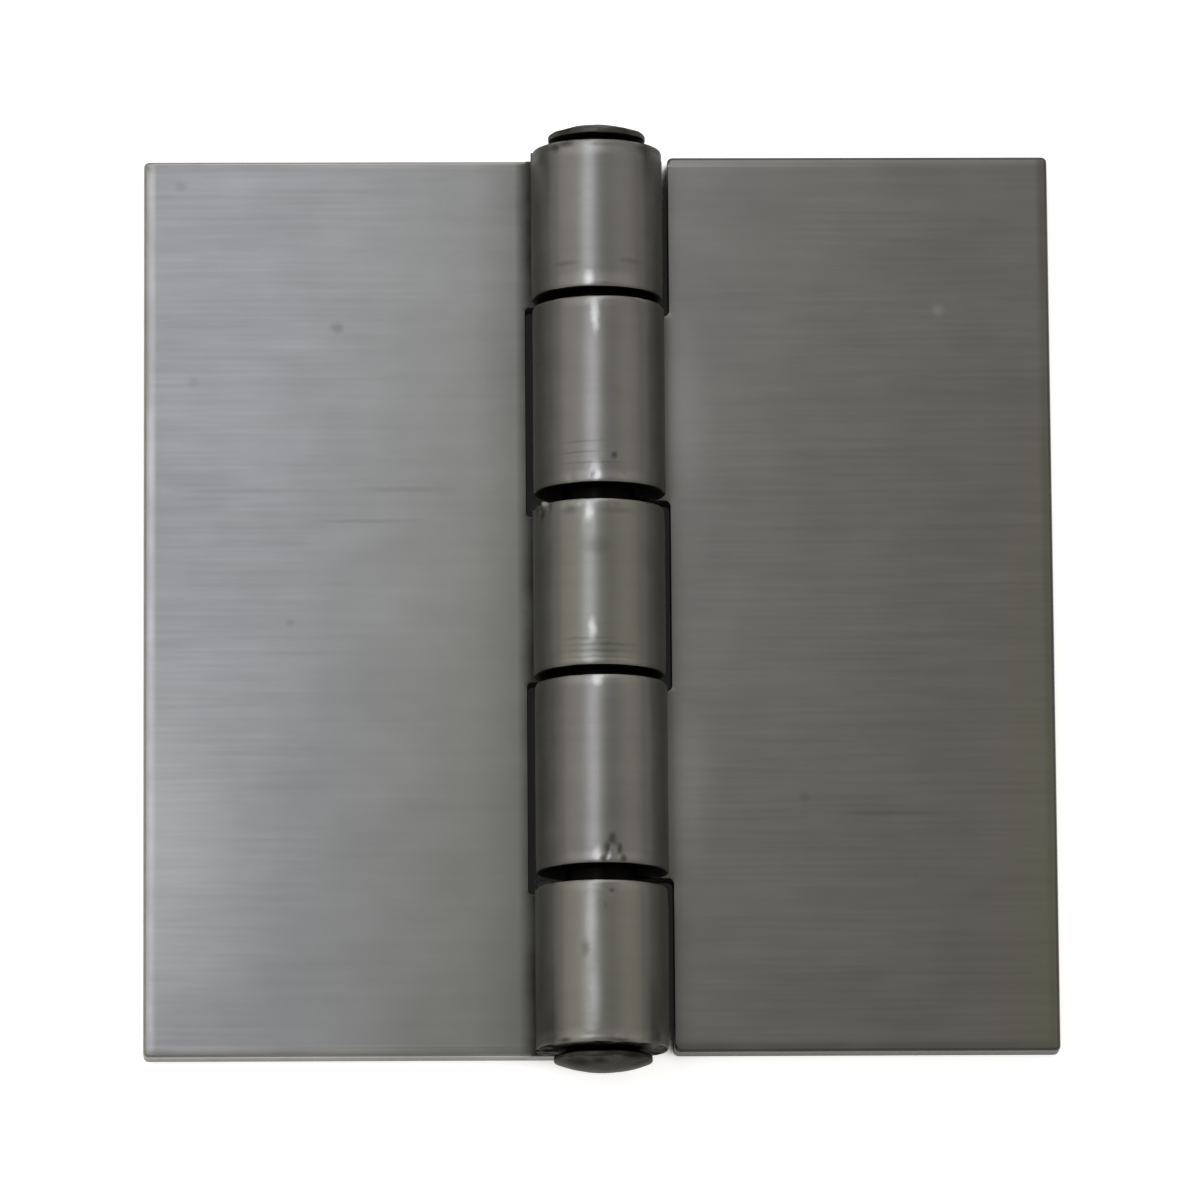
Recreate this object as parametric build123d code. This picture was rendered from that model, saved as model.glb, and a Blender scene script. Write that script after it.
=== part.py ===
from build123d import *
import os
from math import asin, degrees

# A weld-on butt hinge, lying open on its back with the barrel up.
# The pin runs along Y, the leaves lie to each side of it along X, and +Z is up.
# The origin is on the floor, under the pin and at half of the hinge's length.

# Driving dimensions of the two leaves, in millimetres
hinge_length = 101.6
open_width = 101.6
leaf_thickness = 3.4
corner_radius = 0.6
edge_break = 0.4

# Driving dimensions of the barrel
pin_diameter = 7.94
bore_clearance = 0.05
seam_gap = 0.5
barrel_clearance = 0.6

# Driving dimensions of the two slots, their places along the pin and the play in them
slot_length = 23.9
slot_pitch = 42.7
slot_shift = 0.6
slot_corner_radius = 0.6
knuckle_end_gap = 1.35
right_leaf_shift = 0.4

# Driving dimensions of the pin's heads, the same at both ends
head_diameter = 11.0
head_neck = 0.3
head_flare = 0.5
head_land = 0.75
head_crown = 1.1
head_edge_radius = 0.2
pin_shift = 0.25

# Sizes that follow from them
bore_radius = pin_diameter / 2 + bore_clearance
barrel_radius = bore_radius + leaf_thickness
slot_edge = barrel_radius + barrel_clearance
leaf_reach = open_width / 2
leaf_end = hinge_length / 2
slot_centres = [slot_shift + slot_pitch / 2, slot_shift - slot_pitch / 2]
cut_margin = 1.0
near = 0.01


# The leaves

def barrel_point(radius, angle):
    """A point of the section, by its distance and angle from the middle of the pin."""
    return Vector(0, 0, barrel_radius) + Vector(radius, 0, 0).rotate(Axis.Y, -angle)


def strip_section():
    """The section of a leaf that reaches towards +X: a flat strip with its end rolled up.

    The flat back runs into the outside of the barrel, and the roll goes round by the far
    side and over the top until the strip's cut end nearly closes on the leaf's face.
    """
    drop = barrel_radius - leaf_thickness - seam_gap
    cut_angle = -degrees(asin(drop / barrel_radius))
    back = Line((leaf_reach, 0, 0), barrel_point(barrel_radius, -90))
    outside = ThreePointArc(
        back @ 1, barrel_point(barrel_radius, 180), barrel_point(barrel_radius, cut_angle)
    )
    cut_end = Line(outside @ 1, barrel_point(bore_radius, cut_angle))
    bore = ThreePointArc(
        cut_end @ 1, barrel_point(bore_radius, 180), barrel_point(bore_radius, -90)
    )
    face = Line(bore @ 1, (leaf_reach, 0, leaf_thickness))
    outer_edge = Line(face @ 1, back @ 0)
    return make_face([back, outside, cut_end, bore, face, outer_edge])


def notch(y_low, y_high):
    """What is punched out of the strip, so that a knuckle of the other leaf fits in."""
    width = slot_edge + barrel_radius + cut_margin
    height = 2 * (barrel_radius + cut_margin)
    place = Pos(slot_edge - width / 2, (y_low + y_high) / 2, barrel_radius)
    return place * Box(width, y_high - y_low, height)


def outline_edges(solid, level):
    """The edges round the flat of a leaf at one level, without the line where the roll starts."""
    flats = [f for f in solid.faces().filter_by(Axis.Z) if abs(f.center().Z - level) < near]
    return [e for f in flats for e in f.outer_wire().edges() if e.center().X > near]


def leaf(notches):
    """A leaf with its knuckles, reaching towards +X, its corners rounded and its edges broken.

    The back's edges run on round the outside of each knuckle, and the face's round its bore.
    """
    strip = extrude(strip_section(), amount=hinge_length, dir=(0, 1, 0))
    strip = Pos(0, -leaf_end, 0) * strip
    for y_low, y_high in notches:
        strip -= notch(y_low, y_high)

    upright = strip.edges().filter_by(Axis.Z)
    slot_corners = [
        e for e in upright if e.center().X < slot_edge + near and abs(e.center().Y) < leaf_end - near
    ]
    strip = fillet(slot_corners, slot_corner_radius)
    upright = strip.edges().filter_by(Axis.Z)
    leaf_corners = [
        e for e in upright if e.center().X > slot_edge - near and abs(e.center().Y) > leaf_end - near
    ]
    strip = fillet(leaf_corners, corner_radius)
    strip = chamfer(outline_edges(strip, 0), edge_break)
    strip = chamfer(outline_edges(strip, leaf_thickness), edge_break)
    return strip


def left_leaf():
    """The leaf towards -X, with a knuckle at each end and one in the middle."""
    slots = [(c - slot_length / 2, c + slot_length / 2) for c in slot_centres]
    return leaf(slots).mirror(Plane.YZ)


def right_leaf():
    """The leaf towards +X, whose two knuckles stand in the other leaf's slots with play."""
    half_knuckle = slot_length / 2 - knuckle_end_gap
    upper, lower = slot_centres
    beyond = leaf_end + cut_margin
    gaps = [
        (-beyond, lower - half_knuckle),
        (lower + half_knuckle, upper - half_knuckle),
        (upper + half_knuckle, beyond),
    ]
    return Pos(0, right_leaf_shift, 0) * leaf(gaps)


# The pin

def head_section():
    """Half the section of a head, with Y along the pin from the end of the barrel.

    The shank stands out a little, flares into the rim where it was upset, and ends in a crown.
    """
    shank_radius = pin_diameter / 2
    rim_radius = head_diameter / 2
    rim_low = head_neck + head_flare
    rim_high = rim_low + head_land
    shank_end = Line((0, 0), (shank_radius, 0))
    neck = Line(shank_end @ 1, (shank_radius, head_neck))
    flare = Line(neck @ 1, (rim_radius, rim_low))
    land = Line(flare @ 1, (rim_radius, rim_high))
    crown = TangentArc((0, rim_high + head_crown), land @ 1, tangent=(1, 0))
    middle = Line(crown @ 0, shank_end @ 0)
    section = make_face([shank_end, neck, flare, land, crown, middle])
    rim = [v for v in section.vertices() if v.X > rim_radius - near]
    return fillet(rim, head_edge_radius)


def hinge_pin():
    """The pin: a plain shank through all the knuckles, with a head upset on each end."""
    head = revolve(head_section(), Axis.Y)
    shank = Cylinder(pin_diameter / 2, hinge_length, rotation=(90, 0, 0))
    upper_head = Pos(0, leaf_end, 0) * head
    lower_head = upper_head.mirror(Plane.XZ)
    return Pos(0, pin_shift, barrel_radius) * (shank + upper_head + lower_head)


pieces = {"left_leaf": left_leaf(), "right_leaf": right_leaf(), "hinge_pin": hinge_pin()}
os.makedirs("parts", exist_ok=True)
for name, piece in pieces.items():
    export_step(piece, f"parts/{name}.step")
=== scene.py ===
"""A weld-on butt hinge of bare rolled steel, lying open on its back with the barrel up.

The pin runs along Y, the leaves lie to each side of it along X, and +Z is up.
"""
import math

import bmesh
import bpy
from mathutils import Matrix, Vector

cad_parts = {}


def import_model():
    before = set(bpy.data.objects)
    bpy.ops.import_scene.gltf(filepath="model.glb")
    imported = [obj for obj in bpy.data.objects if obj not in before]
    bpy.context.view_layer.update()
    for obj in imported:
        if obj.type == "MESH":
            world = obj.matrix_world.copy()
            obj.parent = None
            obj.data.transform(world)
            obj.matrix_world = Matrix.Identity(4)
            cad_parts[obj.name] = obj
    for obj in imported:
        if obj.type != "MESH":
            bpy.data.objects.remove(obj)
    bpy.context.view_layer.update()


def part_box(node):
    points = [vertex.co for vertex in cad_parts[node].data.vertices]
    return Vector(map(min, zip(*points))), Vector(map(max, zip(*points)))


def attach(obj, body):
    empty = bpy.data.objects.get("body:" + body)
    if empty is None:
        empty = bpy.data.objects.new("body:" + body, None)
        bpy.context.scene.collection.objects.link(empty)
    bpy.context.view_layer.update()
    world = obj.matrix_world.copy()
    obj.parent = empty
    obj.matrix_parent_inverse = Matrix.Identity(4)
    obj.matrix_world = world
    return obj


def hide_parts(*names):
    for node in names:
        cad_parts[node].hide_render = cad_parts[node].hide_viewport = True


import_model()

# Sizes that the frame gives, in metres
MM = 0.001
left_low, left_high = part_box("left_leaf")
right_low, right_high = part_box("right_leaf")
pin_low, pin_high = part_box("hinge_pin")
BARREL_RADIUS = left_high.z / 2
LEAF_REACH = right_high.x
PIN_AXIS = Vector((0, 0, BARREL_RADIUS))
HEAD_RADIUS = pin_high.x

# Sizes of the rolled strip
LEAF_THICKNESS = 3.4 * MM
SEAM_GAP = 0.5 * MM
BARREL_CLEARANCE = 0.6 * MM
SLOT_EDGE = BARREL_RADIUS + BARREL_CLEARANCE
SLOT_LENGTH = 23.9 * MM
SLOT_CENTRES = [21.95 * MM, -20.75 * MM]
KNUCKLE_END_GAP = 1.35 * MM
CORNER_RADIUS = 0.6 * MM

# The shear draws a leaf's outline down over a narrow band, and handling rounds what is left of its edge
ROLL_OVER_WIDTH = 1.2 * MM
ROLL_OVER_DROP = 0.12 * MM
OUTLINE_ROUNDING = 0.35 * MM
EDGE_ROUNDING = 0.12 * MM

# A rolled knuckle isn't a true cylinder: its shoulder is flatter, its skin waves and its ends are drawn in
SHOULDER_FLAT = 0.2 * MM
SHOULDER_ANGLE = math.radians(45)
RING = 1 * MM
SKIN_WAVE = 0.05 * MM
SKIN_WAVE_LENGTH = 7 * MM
END_DRAW = 0.12 * MM
END_BAND = 1.2 * MM
END_WAVE = 0.1 * MM
END_WAVE_LENGTH = 1.6 * MM

# Sizes of the pin and its heads
PIN_RADIUS = 3.97 * MM
HEAD_NECK = 0.3 * MM
HEAD_FLARE = 0.5 * MM
HEAD_LAND = 0.75 * MM
HEAD_CROWN = 1.1 * MM
HEAD_EDGE = 0.2 * MM
HEAD_WAVE = 0.12 * MM
HEAD_WAVE_LENGTH = 2.5 * MM
CROWN_TIP = 0.2 * MM

# How finely round shapes are cut. The last step of a roll is longer than the others, so that the
# rounding of its cut end has room.
ROUND_STEPS = 96
LAST_ROLL_STEP = math.radians(6.4)
CROWN_RINGS = 10
CORNER_STEPS = 4
ROUNDING_STEPS = 3

# Places closer than NEAR are one place. A direction lies along an axis when its share of that axis is
# more than ALONG, and across it when it is less than ACROSS. Two faces that turn by more than SHARP, in
# radians, meet in a sharp edge, and round faces are smooth up to SMOOTH_UP_TO.
NEAR = 0.01 * MM
ALONG, ACROSS = 0.9, 0.1
SHARP = 0.7
SMOOTH_UP_TO = math.radians(35)

# The camera stands where the photograph was taken from. It turns by these degrees about X, Y and Z.
CAMERA_PLACE = Vector((-26.7, -204.4, 1097.4)) * MM
CAMERA_TURNS = (10.61, -1.38, -0.17)
CAMERA_LENS, SENSOR_WIDTH = 299.4, 36


def add_camera():
    """A long lens, 1.1 m above the hinge and 0.2 m towards its lower end."""
    bpy.ops.object.camera_add(location=CAMERA_PLACE)
    camera = bpy.context.object
    camera.name = "camera"
    camera.rotation_mode = "ZYX"
    camera.rotation_euler = [math.radians(turn) for turn in CAMERA_TURNS]
    camera.data.lens = CAMERA_LENS
    camera.data.sensor_width = SENSOR_WIDTH
    bpy.context.scene.camera = camera


# Finishes

# Kinds of node, and the numbers of the Mix node's colours
MATH = "ShaderNodeMath"
VECTOR_MATH = "ShaderNodeVectorMath"
RANGE = "ShaderNodeMapRange"
MIX = "ShaderNodeMix"
FIRST_COLOUR, SECOND_COLOUR, MIXED_COLOUR = 6, 7, 2
NOISE = "ShaderNodeTexNoise"
MAPPING = "ShaderNodeMapping"
PLACE = "ShaderNodeTexCoord"
SPLIT = "ShaderNodeSeparateXYZ"

# How long the grain of each face is along X, Y and Z. Real rolling, shearing and drawing lines are a
# tenth of a millimetre wide or less. They are drawn this coarse so that they show.
LEAF_GRAIN = (14 * MM, 0.5 * MM, 14 * MM)
TORN_GRAIN = (0.4 * MM, 0.4 * MM, 3 * MM)
DRAWN_GRAIN = (0.4 * MM, 6 * MM, 0.4 * MM)

# How long the patches of the steel's tone, its rims with their painted highlight and shade, and its dirt
# and painted shade are along X, Y and Z
MOTTLE = (9 * MM, 6 * MM, 9 * MM)
RIM_PATCHES = (9 * MM, 9 * MM, 9 * MM)
CORNER_PATCHES = (3 * MM, 5 * MM, 3 * MM)
END_PATCHES = (2 * MM, 2 * MM, 2 * MM)

# Each pair says where something begins and where it is full: in from a leaf's outline, in from the
# barrel's skin, in from the barrel's ends, by height, and out from the slot's edge over the leaf
RIM_BAND = (1.5 * MM, 0.8 * MM)
GREASE_AND_SHADE_DEPTH = (0.3 * MM, 0.8 * MM)
GREASE_AND_SHADE_FROM_END = (0.2 * MM, 0.5 * MM)
SHANK_FROM_END = (-0.8 * MM, -0.3 * MM)
DARKER_FROM_END = (11 * MM, 2 * MM)
END_DIRT_AND_SHADE_FROM_END = (0.7 * MM, 0.3 * MM)
FLANK_HEIGHT = (13.4 * MM, 12.2 * MM)
OFF_LEAF_HEIGHT = (4 * MM, 5 * MM)
LEAF_DIRT_AND_SHADE_REACH = (6 * MM, 1.5 * MM)
LEAF_CORNER_REACH = (1.2 * MM, -BARREL_CLEARANCE)

# Tones of what lies on the steel: grease that is also painted shade inside the joint, dirt that is also
# painted shade in the corners and at the barrel's ends, and oil whose yellow is partly a painted warm tint
# of light. A clean face keeps its white gleam at a glancing angle, and a dirty face and the pin lose part
# of it.
GREASE_AND_SHADE = "#141311"
DIRT_AND_SHADE = "#2f2e29"
OIL_AND_WARM_LIGHT = "#82836f"
CLEAN_GLANCE, DIRTY_GLANCE, PIN_GLANCE = "#ffffff", "#646464", "#b8b8b8"

# How strongly streaks show in the steel's tone, how much its roughness varies, and how much the dirt and
# painted shade add to it
STREAKS = 0.4
ROUGHNESS_SPREAD = 0.02
DIRT_AND_SHADE_ROUGHNESS = 0.3

# The least and the most dirt and painted shade on the barrel's flanks, the thin dirt and painted shade over
# the leaf, and the least share of a rim and of the oil and its painted warm tint
FLANK_DIRT_AND_SHADE = (0.5, 0.82)
THIN_DIRT_AND_SHADE = 0.2
RIM_LEAST = 0.4
OIL_AND_WARM_LIGHT_LEAST = 0.3

# How strongly each kind of mark shows, and its tone. The glints are painted highlights along the barrel's
# gleam, the worn places are partly paler wear and partly painted highlights and painted light, and the
# marks on the pin's heads are painted shade. MARK_UNEVEN is the room in which noise moves its outline.
MARK_LOOKS = {
    "wear_and_painted_light": (0.42, "#a3a29f"),
    "faint": (0.18, "#3a3936"),
    "lines": (0.3, "#3a3936"),
    "stains": (0.65, "#2b2a28"),
    "painted_highlights": (0.5, "#d6d5d2"),
    "painted_head_shade": (0.75, "#1c1b19"),
}
MARK_UNEVEN = Vector((0.6, 0.3, 0.6)) * MM


def tone(code):
    """A colour written as sRGB hex, as the linear colour that the nodes take."""
    parts = [int(code[i:i + 2], 16) / 255 for i in (1, 3, 5)]
    return [part / 12.92 if part <= 0.04045 else ((part + 0.055) / 1.055) ** 2.4 for part in parts] + [1]


def add(tree, kind, inputs, output=0, **settings):
    """Adds a node with its settings, fills or links its inputs, and gives back one of its outputs."""
    made = tree.nodes.new(kind)
    for name, value in settings.items():
        setattr(made, name, value)
    for name, value in inputs.items():
        if isinstance(value, bpy.types.NodeSocket):
            tree.links.new(value, made.inputs[name])
        else:
            made.inputs[name].default_value = value
    return made.outputs[output]


def new_finish(name):
    """A new material, its node tree and its surface shader."""
    finish = bpy.data.materials.new(name)
    finish.use_nodes = True
    return finish, finish.node_tree, finish.node_tree.nodes["Principled BSDF"]


def layered(tree, colour, layers):
    """A colour with layers laid over it in turn, each a share and the tone that it brings."""
    for share, code in layers:
        inputs = {0: share, FIRST_COLOUR: colour, SECOND_COLOUR: tone(code)}
        colour = add(tree, MIX, inputs, MIXED_COLOUR, data_type="RGBA")
    return colour


def stretched_noise(tree, size, detail, offset=(0, 0, 0)):
    """Noise whose patches are as long in X, Y and Z as size says, in metres. The offset moves it."""
    place = add(tree, PLACE, {}, "Object")
    scale = [1 / length for length in size]
    stretched = add(tree, MAPPING, {"Vector": place, "Scale": scale, "Location": offset})
    return add(tree, NOISE, {"Vector": stretched, "Scale": 1, "Detail": detail})


def beyond(tree, axis, start, full):
    """0 at start and 1 at full, by how far a place lies from the middle along X, Y or Z."""
    along = add(tree, SPLIT, {"Vector": add(tree, PLACE, {}, "Object")}, axis)
    distance = add(tree, MATH, {0: along}, operation="ABSOLUTE")
    return add(tree, RANGE, {"Value": distance, "From Min": start, "From Max": full})


def before_end(tree, start, full):
    """0 at start and 1 at full, both measured inwards from the barrel's ends."""
    return beyond(tree, "Y", left_high.y - start, left_high.y - full)


def inside_joint(tree):
    """1 where a leaf's metal lies inside the barrel and between the knuckles, and 0 on its skin. The grease
    tone laid there is also painted shade for the gaps of the joint.
    """
    place = add(tree, PLACE, {}, "Object")
    from_pin = add(tree, VECTOR_MATH, {0: place, 1: PIN_AXIS}, operation="SUBTRACT")
    across = add(tree, VECTOR_MATH, {0: from_pin, 1: (1, 0, 1)}, operation="MULTIPLY")
    radius = add(tree, VECTOR_MATH, {0: across}, "Value", operation="LENGTH")
    start, full = [BARREL_RADIUS - depth for depth in GREASE_AND_SHADE_DEPTH]
    deep = add(tree, RANGE, {"Value": radius, "From Min": start, "From Max": full})
    return add(tree, MATH, {0: deep, 1: before_end(tree, *GREASE_AND_SHADE_FROM_END)}, operation="MULTIPLY")


def corner_dirt_and_shade(tree, beside_barrel):
    """Dirt and painted shade in the corners where the barrel rises from the leaves, thickest in the corner,
    and painted shade on the barrel's flanks. On the barrel it is thicker towards the ends, and on the leaf
    it is as thick as beside_barrel says."""
    on_flank = beyond(tree, "Z", *FLANK_HEIGHT)
    off_leaf = beyond(tree, "Z", *OFF_LEAF_HEIGHT)
    on_barrel = add(tree, MATH, {0: on_flank, 1: off_leaf}, operation="MULTIPLY")
    towards_end = before_end(tree, *DARKER_FROM_END)
    least, most = FLANK_DIRT_AND_SHADE
    share = add(tree, RANGE, {"Value": towards_end, "To Min": least, "To Max": most})
    on_barrel = add(tree, MATH, {0: on_barrel, 1: share}, operation="MULTIPLY")
    thin = beyond(tree, "X", *[SLOT_EDGE + reach for reach in LEAF_DIRT_AND_SHADE_REACH])
    thick = beyond(tree, "X", *[SLOT_EDGE + reach for reach in LEAF_CORNER_REACH])
    on_leaf = add(tree, MATH, {0: thin, 1: THIN_DIRT_AND_SHADE, 2: thick}, operation="MULTIPLY_ADD")
    low = beyond(tree, "Z", *reversed(OFF_LEAF_HEIGHT))
    on_leaf = add(tree, MATH, {0: on_leaf, 1: low}, operation="MULTIPLY")
    on_leaf = add(tree, MATH, {0: on_leaf, 1: beside_barrel}, operation="MULTIPLY")
    dirt_and_shade = add(tree, MATH, {0: on_barrel, 1: on_leaf}, operation="MAXIMUM")
    patchy = stretched_noise(tree, CORNER_PATCHES, detail=3, offset=(5, 1, 9))
    patchy = add(tree, RANGE, {"Value": patchy, "From Min": 0.3, "From Max": 0.7, "To Min": 0.8})
    return add(tree, MATH, {0: dirt_and_shade, 1: patchy}, operation="MULTIPLY")


def end_dirt_and_shade(tree):
    """Patchy darkening on the ends of the barrel, where they meet the pin's heads. Dirt makes part of it,
    and the rest is painted shade.
    """
    at_end = before_end(tree, *END_DIRT_AND_SHADE_FROM_END)
    off_leaf = beyond(tree, "Z", LEAF_THICKNESS, LEAF_THICKNESS + 0.5 * MM)
    patchy = stretched_noise(tree, END_PATCHES, detail=3, offset=(4, 4, 1))
    patchy = add(tree, RANGE, {"Value": patchy, "From Min": 0.35, "From Max": 0.6, "To Min": 0.6})
    dirty = add(tree, MATH, {0: at_end, 1: off_leaf}, operation="MULTIPLY")
    return add(tree, MATH, {0: dirty, 1: patchy}, operation="MULTIPLY")


def rim(tree, axis, outline, most):
    """A share, in patches, along the outer edge of a leaf that lies at outline along an axis. With a light
    tone it is a painted highlight on that edge, and with a dark tone painted shade.
    """
    inward = math.copysign(1, -outline)
    start, full = [outline + inward * width for width in RIM_BAND]
    along = add(tree, SPLIT, {"Vector": add(tree, PLACE, {}, "Object")}, axis)
    band = add(tree, RANGE, {"Value": along, "From Min": start, "From Max": full})
    patchy = stretched_noise(tree, RIM_PATCHES, detail=2, offset=(2, 6, 4))
    inputs = {"Value": patchy, "From Min": 0.3, "From Max": 0.6, "To Min": RIM_LEAST * most, "To Max": most}
    return add(tree, MATH, {0: band, 1: add(tree, RANGE, inputs)}, operation="MULTIPLY")


def marked(tree, kind, places):
    """A layer with a mark of one kind at each place, (x, y, z, half width, half length along Y) in mm.
    Its outline is soft and uneven."""
    most, code = MARK_LOOKS[kind]
    place = add(tree, PLACE, {}, "Object")
    uneven = add(tree, NOISE, {"Vector": place, "Scale": 1 / MM, "Detail": 2}, "Color")
    moved = add(tree, VECTOR_MATH, {0: uneven, 1: MARK_UNEVEN, 2: place}, operation="MULTIPLY_ADD")
    total = 0.0
    for x, y, z, width, length in places:
        scale = Vector((1 / width, 1 / length, 1 / width)) / MM
        centre = Vector((x, y, z)) * MM + MARK_UNEVEN / 2
        inside = add(tree, MAPPING, {"Vector": moved, "Scale": scale, "Location": -centre * scale})
        distance = add(tree, VECTOR_MATH, {0: inside}, "Value", operation="LENGTH")
        inputs = {"Value": distance, "From Min": 1, "From Max": 0.1, "To Max": most}
        share = add(tree, RANGE, inputs, interpolation_type="SMOOTHSTEP")
        total = add(tree, MATH, {0: total, 1: share}, operation="MAXIMUM")
    return total, code


def steel(name, dark, light, roughness, grain, relief):
    """Bare steel between two tones, with a grain as long in X, Y and Z as it says. Its lines are as high
    as relief, and a little rougher or smoother than the face."""
    finish, tree, surface = new_finish(name)
    mottle = stretched_noise(tree, MOTTLE, detail=5)
    streaks = stretched_noise(tree, [2 * length for length in grain], detail=3, offset=(3, 7, 5))
    lines = stretched_noise(tree, grain, detail=2, offset=(11, 2, 8))
    share = add(tree, MATH, {0: streaks, 1: STREAKS, 2: mottle}, operation="MULTIPLY_ADD")
    share = add(tree, RANGE, {"Value": share, "From Min": 0.4, "From Max": 1})
    colour = layered(tree, tone(dark), [(share, light)])
    inputs = {"Value": lines, "From Min": 0.3, "From Max": 0.7}
    inputs |= {"To Min": roughness - ROUGHNESS_SPREAD, "To Max": roughness + ROUGHNESS_SPREAD}
    rough = add(tree, RANGE, inputs)
    normal = add(tree, "ShaderNodeBump", {"Height": lines, "Distance": relief, "Strength": 1})
    surface.inputs["Metallic"].default_value = 1
    return finish, tree, surface, colour, rough, normal


def lay_on(tree, surface, colour, rough, normal):
    """Links a colour, a roughness and a normal to the surface."""
    tree.links.new(colour, surface.inputs["Base Color"])
    tree.links.new(rough, surface.inputs["Roughness"])
    tree.links.new(normal, surface.inputs["Normal"])


def dull(tree, surface, dirt_and_shade):
    """Takes part of the gleam that steel has at a glancing angle away under the given mask, the patchy
    darkening of the barrel's ends.
    """
    glance = layered(tree, tone(CLEAN_GLANCE), [(dirt_and_shade, DIRTY_GLANCE)])
    tree.links.new(glance, surface.inputs["Specular Tint"])


def oil_and_warm_light_film(tree, x_start, x_full, y_start, y_full, most):
    """The share of a film of oil and a painted warm tint of light, which begins at the starts and is most
    at the full places, in mm.
    """
    ways = add(tree, SPLIT, {"Vector": add(tree, PLACE, {}, "Object")}).node.outputs
    inputs = {"Value": ways["X"], "From Min": x_start * MM, "From Max": x_full * MM, "To Max": most}
    across = add(tree, RANGE, inputs)
    inputs = {"Value": ways["Y"], "From Min": y_start * MM, "From Max": y_full * MM, "To Min": OIL_AND_WARM_LIGHT_LEAST}
    return add(tree, MATH, {0: across, 1: add(tree, RANGE, inputs)}, operation="MULTIPLY")


def rolled_steel(name, dark, light, rims, beside_barrel, oiled_and_warmed, marks):
    """Cold rolled strip without a coating. The rolls leave it satin, with a faint grain across the leaf and
    round the knuckles. Its rims carry painted highlights and painted shade, the corners beside the barrel
    and the barrel's flanks are darker, partly dirty and partly painted shade, old grease and painted shade
    blacken it inside the joint, and oil and a painted warm tint of light leave it faintly yellow. Bright
    spots along the barrel are painted highlights, and paler places are partly wear and partly painted
    light.

    A rim is an axis, the outline's place along it, a share and a tone."""
    made = steel(name, dark, light, roughness=0.36, grain=LEAF_GRAIN, relief=0.0006 * MM)
    finish, tree, surface, colour, rough, normal = made
    dirt_and_shade = corner_dirt_and_shade(tree, beside_barrel)
    # Layers: painted highlight and shade on the rims, oil with a painted warm tint, wear and painted light,
    # scratches and stains, dirt and painted shade, painted highlights, and grease with painted shade inside
    # the joint
    layers = [(rim(tree, axis, outline, most), code) for axis, outline, most, code in rims]
    layers += [(oil_and_warm_light_film(tree, *oiled_and_warmed), OIL_AND_WARM_LIGHT)]
    layers += [marked(tree, kind, marks[kind]) for kind in ("wear_and_painted_light", "faint", "lines", "stains")]
    layers += [(dirt_and_shade, DIRT_AND_SHADE), marked(tree, "painted_highlights", marks["painted_highlights"]), (inside_joint(tree), GREASE_AND_SHADE)]
    rough = add(tree, MATH, {0: dirt_and_shade, 1: DIRT_AND_SHADE_ROUGHNESS, 2: rough}, operation="MULTIPLY_ADD")
    lay_on(tree, surface, layered(tree, colour, layers), rough, normal)
    return finish


def sheared_steel(name, dark, light):
    """The cut edge of the strip, where the shear tore it: rougher than the rolled face. The ends of the
    barrel are darker where they meet the pin's heads, partly dirty and partly painted shade, and grease and
    painted shade darken it inside the joint."""
    made = steel(name, dark, light, roughness=0.5, grain=TORN_GRAIN, relief=0.01 * MM)
    finish, tree, surface, colour, rough, normal = made
    dirt_and_shade = end_dirt_and_shade(tree)
    dull(tree, surface, dirt_and_shade)
    layers = [(dirt_and_shade, DIRT_AND_SHADE), (inside_joint(tree), GREASE_AND_SHADE)]
    lay_on(tree, surface, layered(tree, colour, layers), rough, normal)
    return finish


def rubbed_steel(name, dark, light):
    """Edges that the shear and later handling have rounded: a little smoother than the face. They are
    darker in the corners beside the barrel, at the barrel's ends and inside the joint, partly dirty and
    greasy and partly painted shade.
    """
    made = steel(name, dark, light, roughness=0.3, grain=LEAF_GRAIN, relief=0.001 * MM)
    finish, tree, surface, colour, rough, normal = made
    dirt_and_shade = end_dirt_and_shade(tree)
    dull(tree, surface, dirt_and_shade)
    layers = [(corner_dirt_and_shade(tree, 0.6), DIRT_AND_SHADE), (dirt_and_shade, DIRT_AND_SHADE), (inside_joint(tree), GREASE_AND_SHADE)]
    lay_on(tree, surface, layered(tree, colour, layers), rough, normal)
    return finish


def drawn_steel(name, dark, light, painted_head_shade):
    """The pin's drawn rod, with lines along it. Its heads were upset by blows. It keeps less of its gleam
    at a glancing angle, its heads carry patches of painted shade, and grease and painted shade blacken its
    shank."""
    made = steel(name, dark, light, roughness=0.4, grain=DRAWN_GRAIN, relief=0.002 * MM)
    finish, tree, surface, colour, rough, normal = made
    layers = [(before_end(tree, *SHANK_FROM_END), GREASE_AND_SHADE), marked(tree, "painted_head_shade", painted_head_shade)]
    surface.inputs["Specular Tint"].default_value = tone(PIN_GLANCE)
    lay_on(tree, surface, layered(tree, colour, layers), rough, normal)
    return finish


# Modelling helpers

def start_piece(name, finishes):
    """Names the primitive that was just added, puts its place in its mesh and opens it for editing."""
    piece = bpy.context.object
    piece.name = name
    piece.data.name = name
    for finish in finishes:
        piece.data.materials.append(finish)
    bpy.ops.object.transform_apply(location=True, rotation=True, scale=True)
    bpy.ops.object.mode_set(mode="EDIT")
    return piece


def select(kind, test):
    """Selects the faces, edges or vertices that pass a test, and nothing else."""
    bpy.ops.mesh.select_mode(type=kind)
    bpy.ops.mesh.select_all(action="DESELECT")
    edited = bmesh.from_edit_mesh(bpy.context.object.data)
    parts = {"FACE": edited.faces, "EDGE": edited.edges, "VERT": edited.verts}[kind]
    for part in parts:
        if test(part):
            part.select_set(True)
    edited.select_flush_mode()
    bmesh.update_edit_mesh(bpy.context.object.data)


def middle(part):
    """The middle of a face or an edge."""
    return sum((corner.co for corner in part.verts), Vector()) / len(part.verts)


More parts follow.
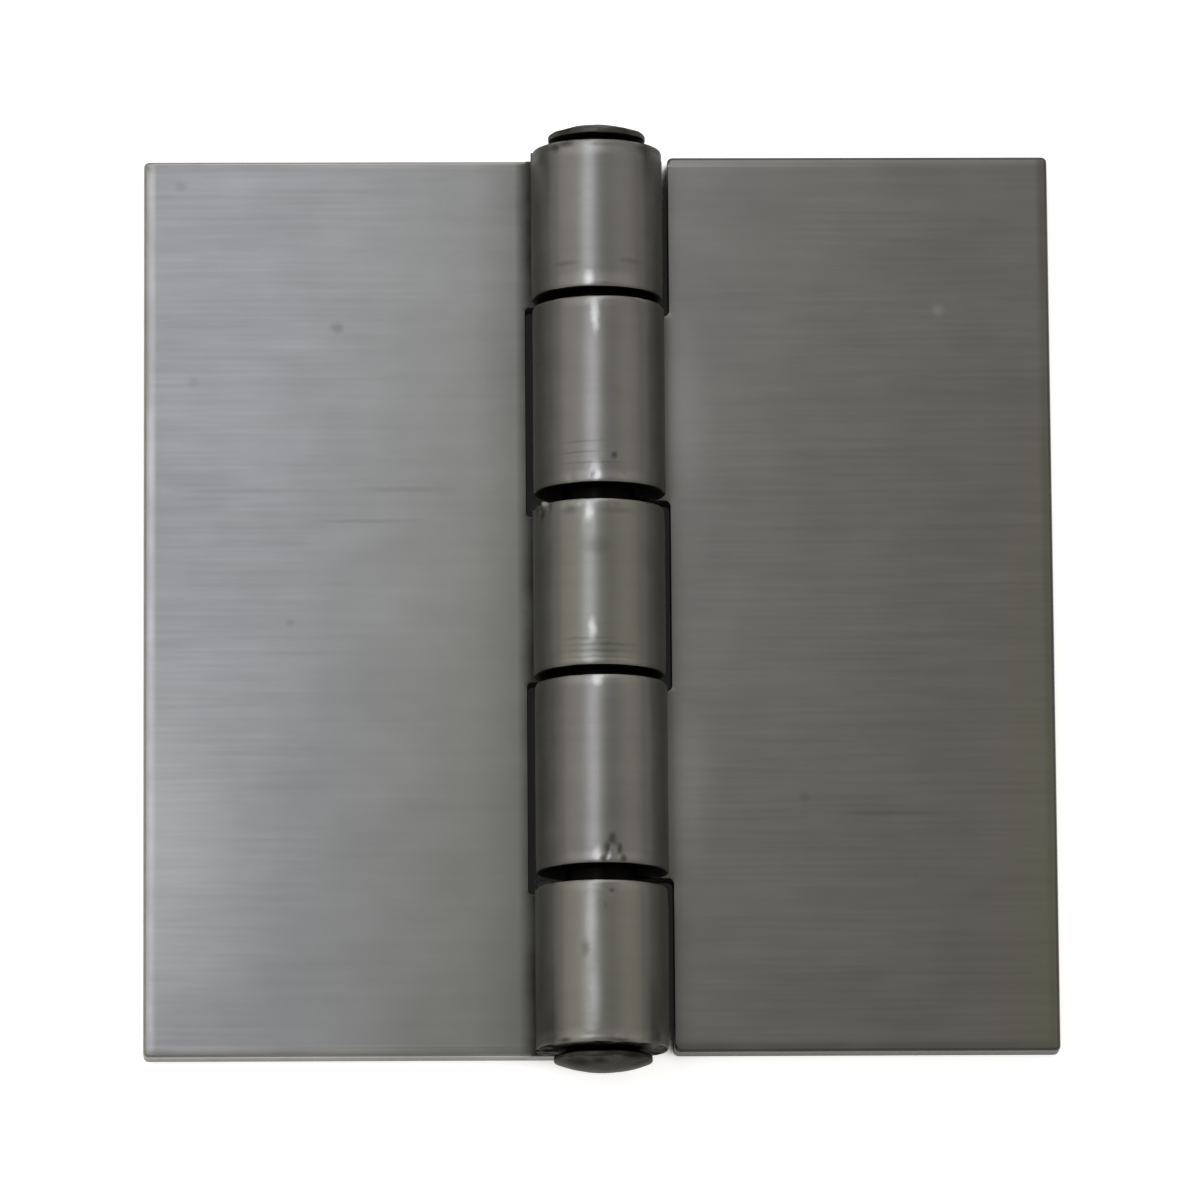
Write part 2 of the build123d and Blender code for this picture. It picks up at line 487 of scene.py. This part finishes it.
def direction(edge):
    """The direction of an edge, from its first corner to its second."""
    return (edge.verts[1].co - edge.verts[0].co).normalized()


def from_axis(point):
    """How far a point lies from the middle of the pin."""
    return math.hypot(point.x, point.z - PIN_AXIS.z)


def cut(place, normal):
    """Cuts all that can be seen of the mesh along a plane."""
    bpy.ops.mesh.select_all(action="SELECT")
    bpy.ops.mesh.bisect(plane_co=place, plane_no=normal)


def close_up():
    """Joins doubled vertices and turns all faces outwards."""
    bpy.ops.mesh.select_all(action="SELECT")
    bpy.ops.mesh.remove_doubles(threshold=NEAR / 2)
    bpy.ops.mesh.normals_make_consistent(inside=False)


def give_selected(piece, finish_number):
    """Gives the selected faces one of the piece's finishes, by its number."""
    piece.active_material_index = finish_number
    bpy.ops.object.material_slot_assign()


def apply(piece, kind, **settings):
    """Adds a modifier with its settings and applies it."""
    modifier = piece.modifiers.new(kind.lower(), kind)
    for name, value in settings.items():
        setattr(modifier, name, value)
    bpy.ops.object.modifier_apply(modifier=modifier.name)


def waves(piece, group, depth, length):
    """Sinks the skin of a piece in shallow uneven waves, within one vertex group."""
    pattern = bpy.data.textures.new(group, "CLOUDS")
    pattern.noise_scale = length
    apply(
        piece, "DISPLACE", texture=pattern, texture_coords="LOCAL", direction="NORMAL",
        strength=depth, mid_level=1, vertex_group=group,
    )


def name_selected(piece, group):
    """Puts the selected vertices in a new vertex group."""
    made = piece.vertex_groups.new(name=group)
    piece.vertex_groups.active_index = made.index
    bpy.ops.object.vertex_group_assign()


def press(places, radius, depth):
    """Pushes the skin in at each place in mm, as a soft mark. A negative depth raises it."""
    bpy.ops.mesh.select_mode(type="VERT")
    for place in places:
        point = Vector(place) * MM
        edited = bmesh.from_edit_mesh(bpy.context.object.data)
        target = min(edited.verts, key=lambda corner: (corner.co - point).length_squared)
        push = target.normal * -depth * MM
        bpy.ops.mesh.select_all(action="DESELECT")
        target.select_set(True)
        edited.select_flush_mode()
        bpy.ops.transform.translate(
            value=push, use_proportional_edit=True,
            proportional_edit_falloff="SMOOTH", proportional_size=radius * MM,
        )


def dent(places, reach, cuts, radius, depth):
    """Cuts the skin finer within reach of the listed places, and presses it in there. All are in mm."""
    points = [Vector(place) * MM for place in places]
    select("FACE", lambda face: min((middle(face) - point).length for point in points) < reach * MM)
    bpy.ops.mesh.subdivide(number_cuts=cuts)
    press(places, radius, depth)


def finish_piece(piece, body, node):
    """Closes a piece: smooth round faces, flat flat ones, its body, and what it stands for."""
    bpy.ops.object.mode_set(mode="OBJECT")
    bpy.ops.object.shade_smooth_by_angle(angle=SMOOTH_UP_TO)
    apply(piece, "WEIGHTED_NORMAL", keep_sharp=True)
    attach(piece, body)
    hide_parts(node)


# The leaves

# Numbers of a leaf's finishes, after its rolled face, which has number 0
SHEARED, RUBBED = 1, 2


def leaf(name, finishes, side, y_low, y_high, knuckles):
    """A leaf that reaches to one side, -1 for left and 1 for right.

    It is a flat plate. A tongue is drawn out of its inner edge over each knuckle's stretch of
    the pin, and rolled up round the pin until its cut end nearly closes on the leaf.
    """
    piece = flat_plate(name, finishes, side, y_low, y_high, knuckles)
    roll_tongues(piece, side, knuckles)
    round_outline(piece, y_low, y_high)
    divide_knuckles(knuckles, side)
    bpy.ops.object.mode_set(mode="OBJECT")
    apply(
        piece, "BEVEL", width=EDGE_ROUNDING, segments=ROUNDING_STEPS, limit_method="ANGLE",
        angle_limit=SHARP, material=RUBBED,
    )
    make_uneven(piece, side, knuckles)
    return piece


def flat_plate(name, finishes, side, y_low, y_high, knuckles):
    """The plate, cut where the knuckles begin and end and along the band that the shear draws down."""
    bpy.ops.object.select_all(action="DESELECT")
    size = Vector((LEAF_REACH - SLOT_EDGE, y_high - y_low, LEAF_THICKNESS))
    place = (side * (LEAF_REACH + SLOT_EDGE) / 2, (y_low + y_high) / 2, LEAF_THICKNESS / 2)
    bpy.ops.mesh.primitive_cube_add(size=1, location=place, scale=size)
    piece = start_piece(name, finishes)
    ends = [y for stretch in knuckles for y in stretch if y_low + NEAR < y < y_high - NEAR]
    for y in ends + [y_low + ROLL_OVER_WIDTH, y_high - ROLL_OVER_WIDTH]:
        cut((0, y, 0), (0, 1, 0))
    cut((side * (LEAF_REACH - ROLL_OVER_WIDTH), 0, 0), (1, 0, 0))
    return piece


def roll_tongues(piece, side, knuckles):
    """Draws the tongues out of the plate and rolls them up."""
    def is_tongue_root(face):
        inward = face.normal.x * side < -ALONG
        return inward and any(low < middle(face).y < high for low, high in knuckles)

    select("FACE", is_tongue_root)
    bpy.ops.mesh.extrude_region_move(TRANSFORM_OT_translate={"value": (-side * SLOT_EDGE, 0, 0)})
    drop = BARREL_RADIUS - LEAF_THICKNESS - SEAM_GAP
    roll = math.radians(270) + math.asin(drop / BARREL_RADIUS)
    for steps, angle in ((ROUND_STEPS, roll - LAST_ROLL_STEP), (1, LAST_ROLL_STEP)):
        bpy.ops.mesh.spin(steps=steps, angle=angle, center=PIN_AXIS, axis=(0, -side, 0))
    give_selected(piece, SHEARED)
    close_up()


def round_outline(piece, y_low, y_high):
    """Rounds the plate's corners, gives its cut edges their finish, and draws its upper outline down."""
    def is_upright_corner(edge):
        upright = abs(direction(edge).z) > ALONG and abs(edge.verts[0].co.x) > SLOT_EDGE - NEAR
        return upright and edge.calc_face_angle() > SHARP

    select("EDGE", is_upright_corner)
    bpy.ops.mesh.bevel(offset=CORNER_RADIUS, segments=CORNER_STEPS, affect="EDGES")

    def is_sheared(face):
        upright = abs(face.normal.z) < ACROSS and abs(middle(face).x) > SLOT_EDGE - CORNER_RADIUS
        return upright or abs(face.normal.y) > ALONG

    select("FACE", is_sheared)
    give_selected(piece, SHEARED)

    def is_outline(corner):
        raised = corner.co.z > LEAF_THICKNESS - ROLL_OVER_DROP - NEAR
        to_side = LEAF_REACH - abs(corner.co.x)
        to_end = min(corner.co.y - y_low, y_high - corner.co.y)
        at_edge = min(to_side, to_end) < CORNER_RADIUS + NEAR
        return raised and at_edge and abs(corner.co.x) > SLOT_EDGE - NEAR

    select("VERT", is_outline)
    bpy.ops.transform.translate(value=(0, 0, -ROLL_OVER_DROP))
    select("EDGE", lambda edge: all(map(is_outline, edge.verts)) and edge.calc_face_angle() > SHARP)
    bpy.ops.mesh.bevel(
        offset=OUTLINE_ROUNDING, segments=ROUNDING_STEPS, affect="EDGES", material=RUBBED
    )


def divide_knuckles(knuckles, side):
    """Cuts each knuckle into rings, closer at its ends, and draws its end rings in a little."""
    for low, high in knuckles:
        rings = round((high - low) / RING)
        cuts = [low + (high - low) * ring / rings for ring in range(1, rings)]
        cuts += [low + RING / 3, low + RING * 2 / 3, high - RING / 3, high - RING * 2 / 3]

        def is_rolled(face):
            centre = middle(face)
            return low + NEAR < centre.y < high - NEAR and from_axis(centre) < BARREL_RADIUS

        select("FACE", is_rolled)
        bpy.ops.mesh.hide(unselected=True)
        for y in cuts:
            cut((0, y, 0), (0, 1, 0))
        bpy.ops.mesh.reveal(select=False)

    def is_end_of_skin(corner):
        at_end = to_nearest_end(corner.co.y, knuckles) < NEAR
        return at_end and is_skin(corner, side) and from_axis(corner.co) > BARREL_RADIUS - NEAR

    select("VERT", is_end_of_skin)
    narrower = 1 - END_DRAW / BARREL_RADIUS
    bpy.ops.transform.resize(value=(narrower, 1, narrower), center_override=PIN_AXIS)


def make_uneven(piece, side, knuckles):
    """Flattens the knuckles' shoulder and lets their skin and their ends wave, as the roll leaves them."""
    bpy.ops.object.mode_set(mode="EDIT")
    select("VERT", lambda corner: is_skin(corner, side))
    shoulder = SHOULDER_ANGLE * side
    narrower = 1 - SHOULDER_FLAT / BARREL_RADIUS
    bpy.ops.transform.rotate(value=shoulder, orient_axis="Y", center_override=PIN_AXIS)
    bpy.ops.transform.resize(value=(narrower, 1, 1), center_override=PIN_AXIS)
    bpy.ops.transform.rotate(value=-shoulder, orient_axis="Y", center_override=PIN_AXIS)
    skin, ends = piece.name + "_skin", piece.name + "_ends"
    name_selected(piece, skin)

    def is_near_end(corner):
        return is_skin(corner, side) and to_nearest_end(corner.co.y, knuckles) < END_BAND

    select("VERT", is_near_end)
    name_selected(piece, ends)
    bpy.ops.object.mode_set(mode="OBJECT")
    waves(piece, skin, SKIN_WAVE, SKIN_WAVE_LENGTH)
    waves(piece, ends, END_WAVE, END_WAVE_LENGTH)
    bpy.ops.object.mode_set(mode="EDIT")


def is_skin(corner, side):
    """True for a point of the rolled outside of a knuckle, above the leaf's flat back."""
    rolled = corner.co.x * side < 0 or corner.co.z > BARREL_RADIUS
    return rolled and from_axis(corner.co) > BARREL_RADIUS - LEAF_THICKNESS / 2


def to_nearest_end(y, knuckles):
    """How far a place along the pin lies from the nearest end of a knuckle."""
    return min(abs(y - end) for stretch in knuckles for end in stretch)


def left_leaf():
    """The leaf with a knuckle at each end of the barrel and one in the middle."""
    upper, lower = SLOT_CENTRES
    half = SLOT_LENGTH / 2
    knuckles = [(left_low.y, lower - half), (lower + half, upper - half), (upper + half, left_high.y)]
    finishes = [left_steel, left_sheared_lit, left_rubbed_lit]
    piece = leaf("leaf_with_three_knuckles", finishes, -1, left_low.y, left_high.y, knuckles)
    burr = [(-6.3, 10.0, 11.3)]
    dent(burr, reach=1.2, cuts=1, radius=0.9, depth=-0.4)
    beside_burr = [(-6.6, 8.9, 10.8), (-5.7, 9.3, 12.1)]
    dent(beside_burr, reach=0.7, cuts=1, radius=0.5, depth=0.12)
    rim_dents = [(-3.94, 8.98, 13.71), (-2.2, 8.9, 14.5), (-1.42, 7.65, 14.7), (1.6, 9.1, 14.6)]
    dent(rim_dents, reach=1.0, cuts=1, radius=0.9, depth=0.06)
    pits = [(-2.31, -40.38, 14.47), (0.91, -34.0, 14.78), (-4.76, 49.6, 13.1), (2.2, -50.2, 14.5)]
    dent(pits, reach=1.1, cuts=2, radius=1.0, depth=0.05)
    finish_piece(piece, "left", "left_leaf")


def right_leaf():
    """The leaf whose two knuckles stand in the other leaf's slots."""
    shift = (right_low.y + right_high.y) / 2
    half = SLOT_LENGTH / 2 - KNUCKLE_END_GAP
    knuckles = [(shift + centre - half, shift + centre + half) for centre in SLOT_CENTRES]
    finishes = [right_steel, right_sheared_shaded, right_rubbed_shaded]
    piece = leaf("leaf_with_two_knuckles", finishes, 1, right_low.y, right_high.y, knuckles)
    tear = [
        (1.07, -28.2, 14.76), (0.85, -28.8, 14.79), (1.35, -28.8, 14.71), (0.6, -29.4, 14.81),
        (1.62, -29.4, 14.65), (0.35, -30.0, 14.83), (1.9, -30.0, 14.58), (0.15, -30.6, 14.84),
        (2.15, -30.6, 14.5),
    ]
    dent(tear, reach=0.9, cuts=2, radius=0.55, depth=0.08)
    rim_dents = [(-0.62, 12.58, 14.81), (-3.4, 12.4, 14.0), (2.6, 12.7, 14.3)]
    dent(rim_dents, reach=1.0, cuts=2, radius=0.7, depth=0.06)
    finish_piece(piece, "right", "right_leaf")


# The pin

def pin():
    """The rod through the knuckles, with a head upset on each end and beaten a little out of round."""
    bpy.ops.object.select_all(action="DESELECT")
    head = HEAD_NECK + HEAD_FLARE + HEAD_LAND + HEAD_CROWN
    length = pin_high.y - pin_low.y - 2 * head
    place = Vector((0, (pin_high.y + pin_low.y) / 2, PIN_AXIS.z))
    bpy.ops.mesh.primitive_cylinder_add(
        vertices=ROUND_STEPS, radius=PIN_RADIUS, depth=length, location=place,
        rotation=(math.pi / 2, 0, 0),
    )
    piece = start_piece("upset_pin", [rod_steel])
    for end in (-1, 1):
        upset_head(place, length, end)

    def is_rim(edge):
        around = abs(direction(edge).y) < ACROSS
        return around and from_axis(middle(edge)) > HEAD_RADIUS - HEAD_EDGE / 2

    select("EDGE", is_rim)
    bpy.ops.mesh.bevel(offset=HEAD_EDGE, segments=ROUNDING_STEPS, affect="EDGES")
    close_up()
    select("VERT", lambda corner: abs(corner.co.y - place.y) > length / 2 + HEAD_NECK + NEAR)
    name_selected(piece, "heads")
    bpy.ops.object.mode_set(mode="OBJECT")
    waves(piece, "heads", HEAD_WAVE, HEAD_WAVE_LENGTH)
    bpy.ops.object.mode_set(mode="EDIT")
    hammer_marks = [
        (0.6, 52.7, 12.4), (3.6, 52.6, 10.9), (-3.4, 52.8, 10.6), (1.3, -52.4, 12.4), (-2.9, -52.3, 11.6),
    ]
    press(hammer_marks, radius=1.4, depth=0.18)
    finish_piece(piece, "pin", "hinge_pin")


def upset_head(place, length, end):
    """Draws one end face of the rod, -1 for the lower and 1 for the upper, out into a head with a neck,
    a flare, a land and a low crown."""
    select("FACE", lambda face: (middle(face).y - place.y) * end > length / 2 - NEAR)
    reach = end * length / 2
    for rise, radius in ((HEAD_NECK, PIN_RADIUS), (HEAD_FLARE, HEAD_RADIUS), (HEAD_LAND, HEAD_RADIUS)):
        reach = raise_ring(reach, place, end * rise, radius)
    crown_start = reach
    crown_radius = (HEAD_RADIUS ** 2 + HEAD_CROWN ** 2) / (2 * HEAD_CROWN)
    half_angle = math.asin(HEAD_RADIUS / crown_radius)
    for ring in range(1, CROWN_RINGS + 1):
        angle = half_angle * (1 - ring / CROWN_RINGS)
        height = crown_radius * (math.cos(angle) - math.cos(half_angle))
        rise = crown_start + end * height - reach
        reach = raise_ring(reach, place, rise, max(crown_radius * math.sin(angle), CROWN_TIP))
    bpy.ops.mesh.merge(type="CENTER")


def raise_ring(reach, place, rise, radius):
    """Draws the selected end face out along the pin, and makes it as wide as it says."""
    bpy.ops.mesh.extrude_region_move(TRANSFORM_OT_translate={"value": (0, rise, 0)})
    edited = bmesh.from_edit_mesh(bpy.context.object.data)
    now = max(from_axis(corner.co) for corner in edited.verts if corner.select)
    wider = radius / now
    centre = place + Vector((0, reach + rise, 0))
    bpy.ops.transform.resize(value=(wider, 1, wider), center_override=centre)
    return reach + rise


# The studio

# The table lies a little below the hinge's back, so that the two don't share a plane
FLOOR_DROP = 0.02 * MM
FLOOR_SIZE = 6

# The table's colour and glow where it lies open and where the hinge covers it; where covered, the dark
# colour and low glow are painted shade. It counts as covered up to the first share of open space over it,
# and as open from the second on.
OPEN_PAPER, SHADE_PAPER = "#f2f2f2", "#080808"
OPEN_GLOW, SHADE_GLOW = 0.7, 0.013
COVERED_UP_TO, OPEN_FROM = 0.25, 0.48

# The softbox's brightness times pi and its area is its power
SOFTBOX_WIDTH, SOFTBOX_LENGTH = 73 * MM, 343 * MM
SOFTBOX_PLACE = Vector((-46, 111, 220)) * MM
SOFTBOX_TURN = math.radians(-13.4)
SOFTBOX_BRIGHTNESS = 2.42
SOFTBOX_TONE = "#eef2ff"

# The room's tones by height, and its light by side
ROOM_LOW, ROOM_WALLS, ROOM_OVERHEAD = "#6f6c67", "#dedad3", "#8b8984"
LIGHT_LEFT, LIGHT_RIGHT = 1.13, 0.87
LIGHT_FRONT, LIGHT_BEHIND = 0.65, 1.35


def floor():
    """A white table, whose colour fills the view as paper does. Where the hinge all but covers it, as in
    the gaps of the joint, its colour and glow are painted dark as painted shade, and it keeps the hinge's
    soft shadow."""
    bpy.ops.object.select_all(action="DESELECT")
    bpy.ops.mesh.primitive_plane_add(size=FLOOR_SIZE, location=(0, 0, -FLOOR_DROP))
    table = bpy.context.object
    table.name = "table"
    finish, tree, surface = new_finish("white_paper")
    inputs = {"Distance": 2 * BARREL_RADIUS}
    open_share = add(tree, "ShaderNodeAmbientOcclusion", inputs, "AO", samples=16)
    inputs = {"Value": open_share, "From Min": COVERED_UP_TO, "From Max": OPEN_FROM}
    clear = add(tree, RANGE, inputs)
    rays = add(tree, "ShaderNodeLightPath", {}).node.outputs
    inputs = {0: rays["Is Camera Ray"], 1: rays["Is Glossy Ray"]}
    seen = add(tree, MATH, inputs, operation="MAXIMUM")
    seen = add(tree, MATH, {0: seen, 1: rays["Is Transmission Ray"]}, operation="MAXIMUM")
    glow = add(tree, RANGE, {"Value": clear, "To Min": SHADE_GLOW, "To Max": OPEN_GLOW})
    glow = add(tree, MATH, {0: seen, 1: glow}, operation="MULTIPLY")
    tree.links.new(glow, surface.inputs["Emission Strength"])
    surface.inputs["Emission Color"].default_value = tone("#ffffff")
    paper = layered(tree, tone(SHADE_PAPER), [(clear, OPEN_PAPER)])
    tree.links.new(paper, surface.inputs["Base Color"])
    surface.inputs["Roughness"].default_value = 0.9
    surface.inputs["Specular IOR Level"].default_value = 0
    table.data.materials.append(finish)


def strip_softbox():
    """A long softbox that lies level over the left leaf, a little turned, as a window's light would be."""
    bpy.ops.object.light_add(type="AREA", location=SOFTBOX_PLACE, rotation=(0, 0, SOFTBOX_TURN))
    box = bpy.context.object
    box.name = "strip_softbox"
    box.data.shape = "RECTANGLE"
    box.data.size = SOFTBOX_WIDTH
    box.data.size_y = SOFTBOX_LENGTH
    box.data.energy = SOFTBOX_BRIGHTNESS * math.pi * SOFTBOX_WIDTH * SOFTBOX_LENGTH
    box.data.color = tone(SOFTBOX_TONE)[:3]
    box.visible_camera = False


def world():
    """A pale room that is dimmer overhead and low down, and brighter to the left and behind."""
    room = bpy.data.worlds.new("room")
    bpy.context.scene.world = room
    room.use_nodes = True
    tree = room.node_tree
    background = tree.nodes["Background"]
    ways = add(tree, SPLIT, {"Vector": add(tree, PLACE, {}, "Generated")}).node.outputs
    walls = add(tree, RANGE, {"Value": ways["Z"], "From Min": 0.12, "From Max": 0.4})
    overhead = add(tree, RANGE, {"Value": ways["Z"], "From Min": 0.75, "From Max": 1})
    layers = [(walls, ROOM_WALLS), (overhead, ROOM_OVERHEAD)]
    tree.links.new(layered(tree, tone(ROOM_LOW), layers), background.inputs["Color"])
    inputs = {"Value": ways["X"], "From Min": -1, "To Min": LIGHT_LEFT, "To Max": LIGHT_RIGHT}
    across = add(tree, RANGE, inputs)
    inputs = {"Value": ways["Y"], "From Min": -1, "To Min": LIGHT_FRONT, "To Max": LIGHT_BEHIND}
    strength = add(tree, MATH, {0: across, 1: add(tree, RANGE, inputs)}, operation="MULTIPLY")
    tree.links.new(strength, background.inputs["Strength"])


# Where the photograph shows marks, as (x, y, z, half width, half length along Y) in mm. Stains are dark
# spots and pits, the glints are painted highlights along the barrel's gleam and on the burr, lines are thin
# dark scratches and specks, faint ones hardly show, and the paler places are partly worn paler and partly
# painted highlights at the knuckles' ends and painted light on the left leaf's lower left and beside the
# right leaf's knuckles.
left_marks = {
    "stains": [
        (0.91, -34, 14.78, 0.6, 0.4), (-6.3, 49.4, 11.34, 1.5, 1.6), (-4.76, 50.1, 13.11, 1, 0.8),
        (-6.44, 8.7, 11.1, 0.9, 0.9), (-7, 10, 9.5, 1.3, 1.6), (1.7, -50.5, 14.6, 2.2, 0.4),
        (-4.3, -50.4, 13.4, 1.3, 0.5), (6.1, -49.8, 11.5, 0.9, 1), (5.4, 50, 12.5, 1.6, 1.1),
        (-3.6, 50.3, 13.8, 1.6, 0.6),
    ],
    # Painted highlights along the barrel's gleam and on the burr
    "painted_highlights": [
        (-1.35, 8.4, 14.72, 0.9, 1.6), (-1, -4.7, 14.77, 0.7, 1.8), (-6.3, 10, 11.7, 0.8, 0.8),
        (-1.2, 34.8, 14.75, 1, 1.3), (-1.3, -9.2, 14.75, 0.9, 1),
    ],
    "faint": [
        (-38, 13.05, 3.4, 11, 0.5), (-22, 13.2, 3.4, 8, 0.5), (-26, 9.6, 3.4, 9, 0.4),
        (-45.26, 25.49, 3.4, 0.9, 0.9), (-34.46, -1.97, 3.4, 0.8, 0.7), (-46.73, 47.87, 3.4, 1, 0.9),
    ],
    "lines": [
        (-29.14, 31.63, 3.4, 1.1, 1), (0, -7.9, 14.8, 6.5, 0.3), (-0.4, -7.2, 14.8, 5.5, 0.28),
        (0.3, -6.5, 14.8, 6.5, 0.3), (-1.8, -5.8, 14.8, 4, 0.28), (-3.4, 8.7, 13.9, 2, 0.7),
        (1.8, 8.6, 14.6, 3.2, 0.6), (-3.94, 8.7, 13.71, 1, 0.6), (0.24, -35.67, 14.84, 0.5, 0.6),
        (-2.31, -40.5, 14.47, 1.1, 1.4), (-3.6, 36.7, 13.7, 2.4, 0.5), (3.6, 37, 13.9, 2.2, 0.5),
        (-0.5, 4.6, 14.8, 2.6, 1.6),
    ],
    # Paler wear, painted highlights at the knuckles' ends and painted light on the leaf's lower left
    "wear_and_painted_light": [
        (-54, -28, 3.4, 22, 30), (0, 34.9, 14.84, 7.5, 1.2), (0, -8.1, 14.84, 7.5, 0.9),
        (-1.5, 9.5, 14.6, 5, 0.7), (0, -33.4, 14.84, 7, 0.9), (-1, -49.6, 14.8, 6, 0.9),
        (-2, 49.8, 14.6, 6, 1.2), (-1.4, -37, 14.7, 1, 5.5), (-0.9, -45.5, 14.8, 1, 4.5),
    ],
}
right_marks = {
    "stains": [
        (1.5, 14.8, 14.6, 0.6, 0.6), (1.07, -28.2, 14.76, 0.8, 0.9), (0.6, -29.4, 14.8, 0.55, 1),
        (1.75, -29.4, 14.65, 0.55, 1), (0.2, -30.5, 14.84, 0.6, 0.8), (2.2, -30.5, 14.5, 0.6, 0.8),
    ],
    # Painted highlights along the barrel's gleam
    "painted_highlights": [
        (-0.45, 12.9, 14.81, 1, 1.8), (-0.5, 30.5, 14.8, 0.7, 2.8), (-0.5, -10.5, 14.8, 1, 1),
        (-0.55, -30, 14.8, 1, 1.4),
    ],
    "faint": [(31.6, -23.65, 3.4, 7, 0.5), (22.75, -21.82, 3.4, 1, 0.9)],
    "lines": [(-1, 14, 14.8, 5.5, 0.2), (-2.5, 15.2, 14.6, 4, 0.2), (-2, 16.4, 14.6, 4, 0.2)],
    # Painted light beside the knuckles, a pale speck, and painted highlights at the knuckles' ends
    "wear_and_painted_light": [
        (8, 21.95, 3.4, 6, 14), (8, -20.75, 3.4, 6, 14), (38.31, 33.54, 3.4, 1, 1.1),
        (0, 12.6, 14.84, 7.5, 0.9), (0, -30.1, 14.84, 7.5, 0.9), (-1, 32.3, 14.8, 5, 0.8),
        (-1, -10.4, 14.8, 7, 0.8),
    ],
}
# Painted shade on the pin's heads, laid over the softbox's reflection
pin_painted_head_shade = [
    (3.4, 53, 11, 3.2, 1.6), (-4.2, 53, 11, 2.6, 1.6), (-3, -52.6, 11, 2.4, 1),
    (4, -52.4, 9, 2.4, 1), (3.6, -51.9, 11.4, 2.6, 0.8), (-0.6, -52.6, 12.2, 1.8, 0.7),
]

# The right leaf's cut and rounded edges are painted darker than the left leaf's as painted shade, and the
# left leaf's are painted lighter as painted highlight. Oil yellows its outer edge, and the left leaf beside
# the barrel, most in the lower half; that yellow is partly a painted warm tint of light.
left_steel = rolled_steel(
    "rolled_steel_left", "#7a7a78", "#868684", beside_barrel=0.85, oiled_and_warmed=(-34, -9, 60, 0, 0.3),
    # Painted highlights on the outer and lower edges, painted shade on the upper edge
    rims=[
        ("X", left_low.x, 0.6, "#bdbcb9"), ("Y", left_high.y, 0.3, "#5f5e5b"),
        ("Y", left_low.y, 0.5, "#a9a8a5"),
    ],
    marks=left_marks,
)
right_steel = rolled_steel(
    "rolled_steel_right", "#7a7976", "#858480", beside_barrel=0, oiled_and_warmed=(40, 50, 40, -30, 0.6),
    # Painted shade on the outer and lower edges
    rims=[("X", right_high.x, 0.6, "#5c5b58"), ("Y", right_low.y, 0.4, "#5c5b58")],
    marks=right_marks,
)
# Lit and shaded copies of one sheared and one rounded steel: the left leaf's edges are painted lighter as
# highlight, the right leaf's painted darker as shade
left_sheared_lit = sheared_steel("sheared_steel_left_lit", "#6b6a67", "#83827f")
right_sheared_shaded = sheared_steel("sheared_steel_right_shaded", "#3d3c39", "#504f4c")
left_rubbed_lit = rubbed_steel("rubbed_steel_left_lit", "#8b8a87", "#a3a29f")
right_rubbed_shaded = rubbed_steel("rubbed_steel_right_shaded", "#53524f", "#666562")
rod_steel = drawn_steel("drawn_steel", "#383733", "#55544f", pin_painted_head_shade)

add_camera()
left_leaf()
right_leaf()
pin()
floor()
world()
strip_softbox()

bpy.context.scene.view_settings.view_transform = "Standard"
